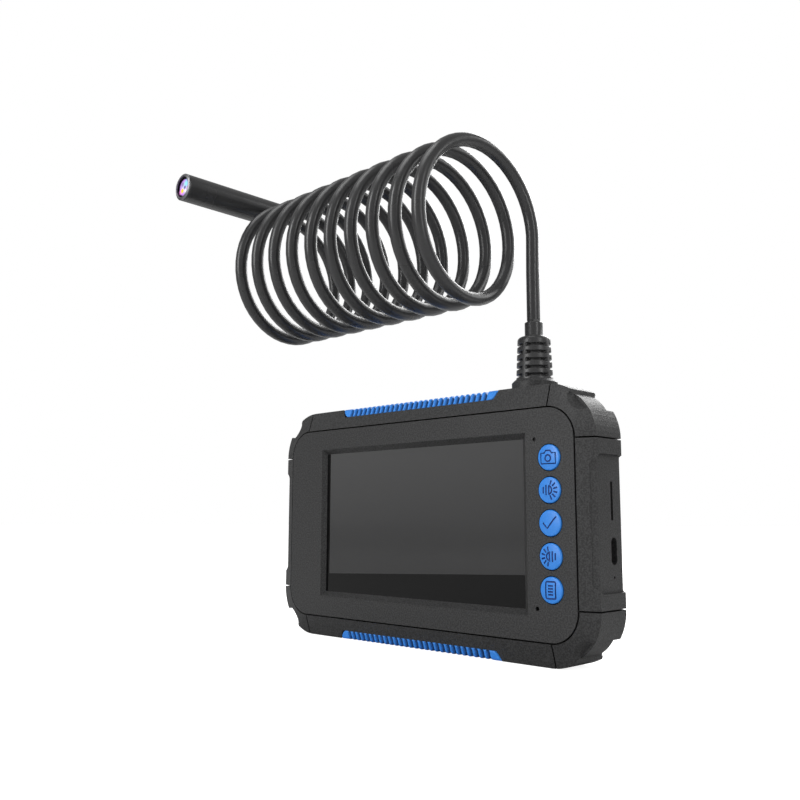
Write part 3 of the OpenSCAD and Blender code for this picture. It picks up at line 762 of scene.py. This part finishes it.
# Depth and half width of a groove, and the distance from the strip's edge over which it runs out
GROOVE_DEEP = RIDGE_H + 0.98
GROOVE_HALF = 1.0
GROOVE_RUN_OUT = 0.8

# The outer skin starts, and the inner skin lies, this far below the band's surface. The skin stays
# inside the CAD's strip by small gaps at its ridges and its ends
SKIN_START = 0.95
SKIN_INNER = 1.15
SKIN_GAP = 0.01
GRIP_END_GAP = 0.02
GRIP_COLUMNS = RIDGES * 14 + 40
GRIP_ROWS = 44
ROWS_EASED = 0.45


def band_path():
    """Path over the front bevel, the band and the back bevel, as (depth, height) with rounded corners."""
    rise = BODY_HALF_H - FACE_HALF_H
    back = BACK_Y - FRONT_Y
    corners = [
        Vector((GRIP_FRONT_GAP, FACE_HALF_H + rise * GRIP_FRONT_GAP / BEVEL_D)),
        Vector((BEVEL_D, BODY_HALF_H)),
        Vector((back - BACK_BEVEL_D, BODY_HALF_H)),
        Vector((back - GRIP_BACK_GAP, FACE_HALF_H + rise * GRIP_BACK_GAP / BACK_BEVEL_D)),
    ]
    path = corners[:1]
    for before, here, after in zip(corners, corners[1:], corners[2:]):
        a = here + (before - here).normalized() * BAND_ROUNDING
        b = here + (after - here).normalized() * BAND_ROUNDING
        for step in range(BAND_ROUNDING_STEPS + 1):
            t = step / BAND_ROUNDING_STEPS
            path.append(a * (1 - t) ** 2 + here * 2 * t * (1 - t) + b * t * t)
    return path + corners[-1:]


BAND = band_path()
BAND_S = [0.0]
for point_a, point_b in zip(BAND, BAND[1:]):
    BAND_S.append(BAND_S[-1] + (point_b - point_a).length)


def on_band(s):
    """Point at a distance along the path, and the direction that points out of the housing there."""
    s = max(0.0, min(BAND_S[-1], s))
    i = max(k for k in range(len(BAND) - 1) if BAND_S[k] <= s + 1e-9)
    point = BAND[i].lerp(BAND[i + 1], (s - BAND_S[i]) / (BAND_S[i + 1] - BAND_S[i]))
    along = (BAND[min(i + 2, len(BAND) - 1)] - BAND[max(i - 1, 0)]).normalized()
    return point, Vector((-along.y, along.x))


def reach(depth):
    """Distance along the path at which it comes to a depth."""
    i = max(k for k in range(len(BAND) - 1) if k == 0 or BAND[k].x < depth)
    share = (depth - BAND[i].x) / (BAND[i + 1].x - BAND[i].x)
    return BAND_S[i] + (BAND_S[i + 1] - BAND_S[i]) * share


def skin_height(gap, valley):
    """Height of the outer skin over the band, at a distance from the strip's edge and in a groove."""
    inward = 1 - min(1, gap / GRIP_EDGE_R)
    rounding = math.sqrt(max(0, 1 - inward * inward))
    height = RIDGE_H - SKIN_GAP - GROOVE_DEEP * valley * ease(min(1, gap / GROOVE_RUN_OUT))
    return (height + SKIN_START) * rounding - SKIN_START


def grip_column(x):
    """Pairs of an outer and an inner point, from the front to the back of a strip."""
    over = max(0, abs(x) - GRIP_HALF_LEN + GRIP_CORNER_R)
    inset = GRIP_CORNER_R - math.sqrt(GRIP_CORNER_R ** 2 - over ** 2)
    s0 = reach(BAND[0].x + inset)
    s1 = reach(BAND[-1].x - inset)
    from_groove = abs((x / RIDGE_PITCH) % 1 - 0.5) * RIDGE_PITCH
    in_ridges = abs(x) < RIDGED_PITCHES * RIDGE_PITCH / 2
    valley = 1 - min(1, from_groove / GROOVE_HALF) if in_ridges else 0
    column = []
    for j in range(GRIP_ROWS + 1):
        t = j / GRIP_ROWS
        # Rows lie closer together near both edges
        s = s0 + (s1 - s0) * (ROWS_EASED * ease(t) + (1 - ROWS_EASED) * t)
        point, out = on_band(s)
        gap = min(s - s0, s1 - s, GRIP_HALF_LEN - abs(x))
        column.append((point + out * skin_height(gap, valley), point - out * SKIN_INNER))
    return column


def make_grip(name, node, side):
    """Grip strip along the top of the housing with side 1, along its bottom with side -1."""
    grids = ([], [])
    half = GRIP_HALF_LEN - GRIP_END_GAP
    for c in range(GRIP_COLUMNS + 1):
        x = -half + 2 * half * c / GRIP_COLUMNS
        for grid, column in zip(grids, zip(*grip_column(x))):
            grid.append([(GRIP_MIDDLE_X + x, FRONT_Y + p.x, MID_Z + side * p.y) for p in column])
    points, faces = closed_sheet(*grids)
    if side < 0:
        # The mirrored strip's faces would look inwards
        faces = [face[::-1] for face in faces]
    make_piece(name, points, faces, "blue_grip", replaced=[node])


make_grip("grip_top", "grip_strip_top", 1)
make_grip("grip_bottom", "grip_strip_bottom", -1)


# ---- Buttons ----

# A cap stands PROUD of the face in its middle, and DOME_DROP less where its edge rounding begins
BUTTON_R = 4.1
BUTTON_EDGE_R = 0.45
DOME_R = BUTTON_R - BUTTON_EDGE_R
PROUD = 0.8
DOME_DROP = 0.30
DOME_RINGS = 14
CAP_SIDES = 72

# Cut-in signs: radius of the tool that cuts them, and their size against the strokes below
TOOL_R = 0.27
TOOL_SIDES = 8
SIGN_SCALE = 1.42


def dome(r):
    """How far a cap stands in front of the face at a distance from its middle."""
    return PROUD - DOME_DROP * (r / DOME_R) ** 2


def circle_stroke(x, z, r):
    """Full circle."""
    return arc(x, z, r, 0, 360, 24)


def box_stroke(w, h, r):
    """Box with rounded corners around the middle."""
    stroke = []
    for corner, (side_x, side_z) in enumerate(((1, 1), (-1, 1), (-1, -1), (1, -1))):
        start_deg = 90 * corner
        stroke += arc(side_x * (w / 2 - r), side_z * (h / 2 - r), r, start_deg, start_deg + 90, 5)
    return stroke + stroke[:1]


def lamp_strokes(side):
    """Half-round lamp with rays to one side and upright bars on the other."""
    flat = [(0.1, z) for z in (1.1, 0.4, -0.4, -1.1)]
    bulb = arc(0.1, 0, 0.75, -90, 90, 12, radius_y=0.85)
    rays = []
    for a in [math.radians(degrees) for degrees in (-75, -45, -15, 15, 45, 75)]:
        rays.append([(0.1 + r * math.cos(a), r * math.sin(a)) for r in (1.2, 1.7, 2.2)])
    bars = [[(x, z * tall) for z in (1, 0, -1)] for x, tall in ((-0.65, 1.15), (-1.4, 0.75))]
    return [[(side * x, z) for x, z in stroke] for stroke in [flat, bulb, *rays, *bars]]


# Strokes of each sign as (x, z) from the cap's middle
STROKES = {
    "capture": [
        [
            (-1.9, 0.95), (-0.95, 0.95), (-0.6, 1.5), (0.6, 1.5), (0.95, 0.95),
            (1.9, 0.95), (1.9, -1.4), (-1.9, -1.4), (-1.9, 0.95),
        ],
        circle_stroke(0, -0.2, 0.72),
    ],
    "brighter": lamp_strokes(1),
    "confirm": [[(-1.7, 0.05), (-1.1, -0.55), (-0.5, -1.15), (0.3, -0.2), (1.1, 0.75), (1.8, 1.45)]],
    "dimmer": lamp_strokes(-1),
    "menu": [
        box_stroke(2.5, 3.6, 0.3),
        *[[(-0.65, z), (0, z), (0.65, z)] for z in (0.95, 0.32, -0.32, -0.95)],
    ],
}


def stroke_tube(stroke, centre, first):
    """Points and faces of a tube that follows a stroke on a cap's dome."""
    flat = [(x * SIGN_SCALE, z * SIGN_SCALE) for x, z in stroke]
    spots = [Vector((x, FRONT_Y - dome(math.hypot(x, z)), z)) for x, z in flat]
    closed = (spots[0] - spots[-1]).length < 1e-6
    if closed:
        spots.pop()
    count = len(spots)
    back = Vector((0, 1, 0))
    points = []
    for i, spot in enumerate(spots):
        ahead = spots[(i + 1) % count] if closed or i < count - 1 else spot
        behind = spots[i - 1] if closed or i > 0 else spot
        across = (ahead - behind).normalized().cross(back).normalized()
        for k in range(TOOL_SIDES):
            a = TAU * k / TOOL_SIDES
            p = spot + TOOL_R * (math.cos(a) * across + math.sin(a) * back)
            points.append((centre.x + p.x, p.y, centre.z + p.z))
    return points, ring_faces(count, TOOL_SIDES, first, closed)


def make_cutter(strokes, centre):
    """Tubes along all strokes of a sign, to be cut out of its cap."""
    points, faces = [], []
    for stroke in strokes:
        tube_points, tube_faces = stroke_tube(stroke, centre, len(points))
        points += tube_points
        faces += tube_faces
    mesh = mesh_from("cutter", points, faces)
    bm = bmesh.new()
    bm.from_mesh(mesh)
    bmesh.ops.recalc_face_normals(bm, faces=bm.faces)
    bm.to_mesh(mesh)
    bm.free()
    mesh.materials.append(MATERIALS["button_mark"])
    return put_in_scene("cutter", mesh)


def carve(obj, cutter):
    """Cuts one object out of another and leaves the result in the mesh."""
    cut = obj.modifiers.new("cut", "BOOLEAN")
    cut.operation = "DIFFERENCE"
    cut.solver = "EXACT"
    cut.use_self = True
    cut.material_mode = "TRANSFER"
    cut.object = cutter
    result = bpy.data.meshes.new_from_object(obj.evaluated_get(bpy.context.evaluated_depsgraph_get()))
    obj.modifiers.remove(cut)
    old = obj.data
    obj.data = result
    bpy.data.meshes.remove(old)
    bpy.data.objects.remove(cutter)


def make_button(word):
    """Domed cap with a rounded edge, a straight side and its sign cut in."""
    node = "button_" + word
    low, high = box_mm(node)
    centre = (low + high) / 2
    radii = [DOME_R * k / DOME_RINGS for k in range(DOME_RINGS + 1)]
    profile = [(r, -dome(r)) for r in radii]
    # The middle of the dome is a tiny flat disc instead of a point
    profile[0] = (0.05, -dome(0))
    profile += arc(DOME_R, BUTTON_EDGE_R - dome(DOME_R), BUTTON_EDGE_R, -75, 0, 5)
    profile += [(BUTTON_R, 0.8), (BUTTON_R, 2.4), (BUTTON_R, 2.6)]
    points, faces = turned(profile, CAP_SIDES, (centre.x, FRONT_Y, centre.z))
    cap = make_piece("cap_" + word, points, faces, "blue_button", "button_" + word + "_cap", [node])
    carve(cap, make_cutter(STROKES[word], centre))
    for polygon in cap.data.polygons:
        polygon.use_smooth = True
    cap.data.set_sharp_from_angle(angle=math.radians(38))


for button_word in STROKES:
    make_button(button_word)


# ---- Camera probe ----

PROBE_SIDES = 96

# The barrel is bored out for the glass and the lens, and the steel rim sits on its nose. Profiles are
# pairs of a radius and a distance from the tip
BORE_WALL = 0.65
BORE_DEEP = 9.0
NOSE_Y = 0.62
BACK_ROUNDING = 0.7
RIM_W = 1.2
RIM_STEP_W = 0.6
RIM_DEEP = 1.05


def barrel_profile(radius, length):
    """The barrel from inside its bore, over the nose and the side, to the cable at its back."""
    profile = [(radius - BORE_WALL, BORE_DEEP), (radius - BORE_WALL, NOSE_Y)]
    profile += [(radius - 0.12, NOSE_Y), (radius, 0.75), (radius, 1.2)]
    profile += [(radius, length * k / 10) for k in range(1, 10)]
    profile += [(radius, length - 0.9)]
    profile += arc(radius - BACK_ROUNDING, length - BACK_ROUNDING, BACK_ROUNDING, 0, 80, 6)
    profile += [(CABLE_D / 2 + 0.2, length - 0.05), (CABLE_D / 2, length - 0.4)]
    return profile


def rim_profile(radius):
    """The rim from its inner side, over its round lip and its chamfer, to the step on the barrel."""
    profile = [(radius - RIM_W, RIM_DEEP), (radius - RIM_W, 0.4)]
    profile += arc(radius - 0.9, 0.3, 0.3, 180, 270, 4)
    profile += [(radius - 0.85, 0.0), (radius - 0.1, 0.48), (radius, 0.58)]
    profile += [(radius - RIM_STEP_W, NOSE_Y), (radius - RIM_STEP_W, RIM_DEEP)]
    return profile


def make_probe():
    """Barrel and nose rim around the probe's axis."""
    low, high = box_mm("probe_housing")
    radius = (high.z - low.z) / 2
    tip_y = box_mm("probe_nose_ring")[0].y
    tip = ((low.x + high.x) / 2, tip_y, (low.z + high.z) / 2)
    points, faces = turned(barrel_profile(radius, high.y - tip_y), PROBE_SIDES, tip)
    barrel = make_piece("probe_barrel", points, faces, "probe_black", replaced=["probe_housing"])
    points, faces = turned(rim_profile(radius), PROBE_SIDES, tip, closed=True)
    rim = make_piece("probe_rim", points, faces, "steel", replaced=["probe_nose_ring"])
    return barrel, rim


probe_body, probe_rim = make_probe()
